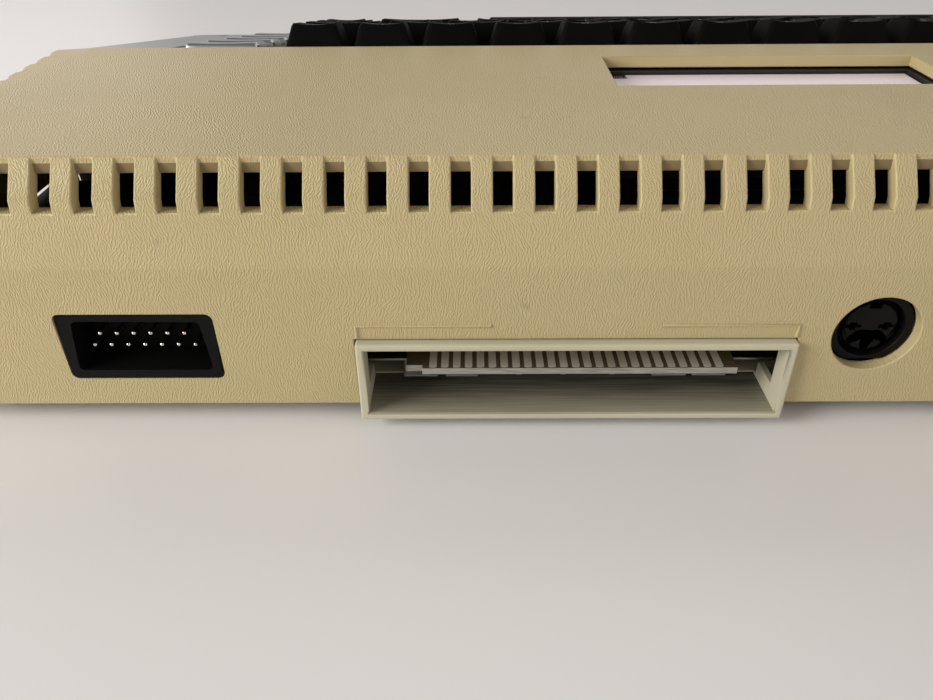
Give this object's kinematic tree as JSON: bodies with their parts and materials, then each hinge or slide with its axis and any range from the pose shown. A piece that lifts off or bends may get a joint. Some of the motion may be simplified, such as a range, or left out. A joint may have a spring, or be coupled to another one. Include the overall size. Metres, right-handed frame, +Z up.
{
  "type": "vintage home computer",
  "caption": "One-piece home computer with a full keyboard, a spring-door cartridge slot on the deck, a row of rear ports and vent slots round the deck.",
  "frame": {"origin": "middle of the footprint, at the level the feet stand on", "axes": "+X to the user's right, along the longest side; +Y to the rear, where the ports are; +Z up"},
  "size_m": [0.375, 0.218, 0.0638],
  "materials": {
    "shell_cream": "leather-grained moulding",
    "shell_grey": "smooth moulding",
    "surround_brown": "satin",
    "brushed_strip": "brushed",
    "lamp_red": "clear red",
    "door_metal": "brushed",
    "steel": "zinc plated",
    "black_plastic": "satin",
    "connector_green": "satin",
    "board_green": "lacquered",
    "contact_tin": "dull plate",
    "chip_black": "matt",
    "capacitor_blue": "sleeved",
    "tin_plate": "tin plated",
    "nickel": "bright",
    "white_plastic": "satin",
    "dome_rubber": "matt",
    "film": "clear film",
    "ribbon": "flexible",
    "foot_rubber": "matt",
    "key_black": "fine matt",
    "console_silver": "satin"
  },
  "bodies": {
    "case": {"top_shell": "shell_cream", "bottom_shell": "shell_grey", "keyboard_surround": "surround_brown", "metal_strip": "brushed_strip", "power_lamp": "lamp_red", "door_pins": "steel", "door_springs": "steel", "cartridge_guide": "black_plastic", "cartridge_socket": "connector_green", "main_board": "board_green", "expansion_contacts": "contact_tin", "chips": "chip_black", "capacitors": "capacitor_blue", "radio_modulator": "tin_plate", "tv_jack": "nickel", "upper_shield": "tin_plate", "lower_shield": "tin_plate", "peripheral_socket": "black_plastic", "connector_pins": "nickel", "monitor_socket": "black_plastic", "power_inlet": "black_plastic", "channel_switch": "black_plastic", "power_switch": "black_plastic", "controller_sockets": "black_plastic", "keyboard_plate": "tin_plate", "dome_sheet": "dome_rubber", "contact_sheet": "film", "keyboard_back": "tin_plate", "ribbon_cable": "ribbon", "feet": "foot_rubber", "screws": "steel"},
    "door_front": {"door_front": "door_metal"},
    "door_rear": {"door_rear": "door_metal"},
    "power_rocker": {"power_rocker": "black_plastic"},
    "channel_slider": {"channel_slider": "white_plastic"},
    "number_key_01": {"number_key_01": "key_black"},
    "number_key_02": {"number_key_02": "key_black"},
    "number_key_03": {"number_key_03": "key_black"},
    "number_key_04": {"number_key_04": "key_black"},
    "number_key_05": {"number_key_05": "key_black"},
    "number_key_06": {"number_key_06": "key_black"},
    "number_key_07": {"number_key_07": "key_black"},
    "number_key_08": {"number_key_08": "key_black"},
    "number_key_09": {"number_key_09": "key_black"},
    "number_key_10": {"number_key_10": "key_black"},
    "number_key_11": {"number_key_11": "key_black"},
    "number_key_12": {"number_key_12": "key_black"},
    "number_key_13": {"number_key_13": "key_black"},
    "number_key_14": {"number_key_14": "key_black"},
    "number_key_15": {"number_key_15": "key_black"},
    "return_key": {"return_key": "key_black"},
    "space_bar": {"space_bar": "key_black"},
    "upper_letter_keys": {"upper_letter_keys": "key_black"},
    "middle_letter_keys": {"middle_letter_keys": "key_black"},
    "lower_letter_keys": {"lower_letter_keys": "key_black"},
    "console_key_1": {"console_key_1": "console_silver"},
    "console_key_2": {"console_key_2": "console_silver"},
    "console_key_3": {"console_key_3": "console_silver"},
    "console_key_4": {"console_key_4": "console_silver"},
    "console_key_5": {"console_key_5": "console_silver"}
  },
  "joints": [
    {"name": "number_key_01_press", "type": "slide", "parent": "case", "child": "number_key_01", "axis": [0, 0.1736, -0.9848], "range_m": [0, 0.0038], "stiffness_N_per_m": 150, "springref_m": -0.002},
    {"name": "number_key_02_press", "type": "slide", "parent": "case", "child": "number_key_02", "axis": [0, 0.1736, -0.9848], "range_m": [0, 0.0038], "stiffness_N_per_m": 150, "springref_m": -0.002},
    {"name": "number_key_03_press", "type": "slide", "parent": "case", "child": "number_key_03", "axis": [0, 0.1736, -0.9848], "range_m": [0, 0.0038], "stiffness_N_per_m": 150, "springref_m": -0.002},
    {"name": "number_key_04_press", "type": "slide", "parent": "case", "child": "number_key_04", "axis": [0, 0.1736, -0.9848], "range_m": [0, 0.0038], "stiffness_N_per_m": 150, "springref_m": -0.002},
    {"name": "number_key_05_press", "type": "slide", "parent": "case", "child": "number_key_05", "axis": [0, 0.1736, -0.9848], "range_m": [0, 0.0038], "stiffness_N_per_m": 150, "springref_m": -0.002},
    {"name": "number_key_06_press", "type": "slide", "parent": "case", "child": "number_key_06", "axis": [0, 0.1736, -0.9848], "range_m": [0, 0.0038], "stiffness_N_per_m": 150, "springref_m": -0.002},
    {"name": "number_key_07_press", "type": "slide", "parent": "case", "child": "number_key_07", "axis": [0, 0.1736, -0.9848], "range_m": [0, 0.0038], "stiffness_N_per_m": 150, "springref_m": -0.002},
    {"name": "number_key_08_press", "type": "slide", "parent": "case", "child": "number_key_08", "axis": [0, 0.1736, -0.9848], "range_m": [0, 0.0038], "stiffness_N_per_m": 150, "springref_m": -0.002},
    {"name": "number_key_09_press", "type": "slide", "parent": "case", "child": "number_key_09", "axis": [0, 0.1736, -0.9848], "range_m": [0, 0.0038], "stiffness_N_per_m": 150, "springref_m": -0.002},
    {"name": "number_key_10_press", "type": "slide", "parent": "case", "child": "number_key_10", "axis": [0, 0.1736, -0.9848], "range_m": [0, 0.0038], "stiffness_N_per_m": 150, "springref_m": -0.002},
    {"name": "number_key_11_press", "type": "slide", "parent": "case", "child": "number_key_11", "axis": [0, 0.1736, -0.9848], "range_m": [0, 0.0038], "stiffness_N_per_m": 150, "springref_m": -0.002},
    {"name": "number_key_12_press", "type": "slide", "parent": "case", "child": "number_key_12", "axis": [0, 0.1736, -0.9848], "range_m": [0, 0.0038], "stiffness_N_per_m": 150, "springref_m": -0.002},
    {"name": "number_key_13_press", "type": "slide", "parent": "case", "child": "number_key_13", "axis": [0, 0.1736, -0.9848], "range_m": [0, 0.0038], "stiffness_N_per_m": 150, "springref_m": -0.002},
    {"name": "number_key_14_press", "type": "slide", "parent": "case", "child": "number_key_14", "axis": [0, 0.1736, -0.9848], "range_m": [0, 0.0038], "stiffness_N_per_m": 150, "springref_m": -0.002},
    {"name": "number_key_15_press", "type": "slide", "parent": "case", "child": "number_key_15", "axis": [0, 0.1736, -0.9848], "range_m": [0, 0.0038], "stiffness_N_per_m": 150, "springref_m": -0.002},
    {"name": "return_key_press", "type": "slide", "parent": "case", "child": "return_key", "axis": [0, 0.1736, -0.9848], "range_m": [0, 0.0038], "stiffness_N_per_m": 150, "springref_m": -0.002},
    {"name": "space_bar_press", "type": "slide", "parent": "case", "child": "space_bar", "axis": [0, 0.1736, -0.9848], "range_m": [0, 0.0038], "stiffness_N_per_m": 220, "springref_m": -0.002},
    {"name": "upper_letter_keys_press", "type": "slide", "parent": "case", "child": "upper_letter_keys", "axis": [0, 0.1736, -0.9848], "range_m": [0, 0.0038], "stiffness_N_per_m": 1800, "springref_m": -0.002},
    {"name": "middle_letter_keys_press", "type": "slide", "parent": "case", "child": "middle_letter_keys", "axis": [0, 0.1736, -0.9848], "range_m": [0, 0.0038], "stiffness_N_per_m": 1800, "springref_m": -0.002},
    {"name": "lower_letter_keys_press", "type": "slide", "parent": "case", "child": "lower_letter_keys", "axis": [0, 0.1736, -0.9848], "range_m": [0, 0.0038], "stiffness_N_per_m": 1800, "springref_m": -0.002},
    {"name": "console_key_1_press", "type": "slide", "parent": "case", "child": "console_key_1", "axis": [0, 0.1736, -0.9848], "range_m": [0, 0.0014], "stiffness_N_per_m": 200, "springref_m": -0.002},
    {"name": "console_key_2_press", "type": "slide", "parent": "case", "child": "console_key_2", "axis": [0, 0.1736, -0.9848], "range_m": [0, 0.0014], "stiffness_N_per_m": 200, "springref_m": -0.002},
    {"name": "console_key_3_press", "type": "slide", "parent": "case", "child": "console_key_3", "axis": [0, 0.1736, -0.9848], "range_m": [0, 0.0014], "stiffness_N_per_m": 200, "springref_m": -0.002},
    {"name": "console_key_4_press", "type": "slide", "parent": "case", "child": "console_key_4", "axis": [0, 0.1736, -0.9848], "range_m": [0, 0.0014], "stiffness_N_per_m": 200, "springref_m": -0.002},
    {"name": "console_key_5_press", "type": "slide", "parent": "case", "child": "console_key_5", "axis": [0, 0.1736, -0.9848], "range_m": [0, 0.0014], "stiffness_N_per_m": 200, "springref_m": -0.002},
    {"name": "door_front_swing", "type": "hinge", "parent": "case", "child": "door_front", "pos_m": [-0.0073, 0.03095, 0.0534], "axis": [-1, 0, 0], "range_deg": [0, 80], "stiffness_Nm_per_rad": 0.003, "springref_deg": -28.65},
    {"name": "door_rear_swing", "type": "hinge", "parent": "case", "child": "door_rear", "pos_m": [-0.0073, 0.05425, 0.0534], "axis": [1, 0, 0], "range_deg": [0, 80], "stiffness_Nm_per_rad": 0.003, "springref_deg": -28.65},
    {"name": "power_rocker_rock", "type": "hinge", "parent": "case", "child": "power_rocker", "pos_m": [-0.147, 0.1028, 0.0232], "axis": [1, 0, 0], "range_deg": [0, 16]},
    {"name": "channel_slide", "type": "slide", "parent": "case", "child": "channel_slider", "axis": [1, 0, 0], "range_m": [0, 0.0038]}
  ]
}
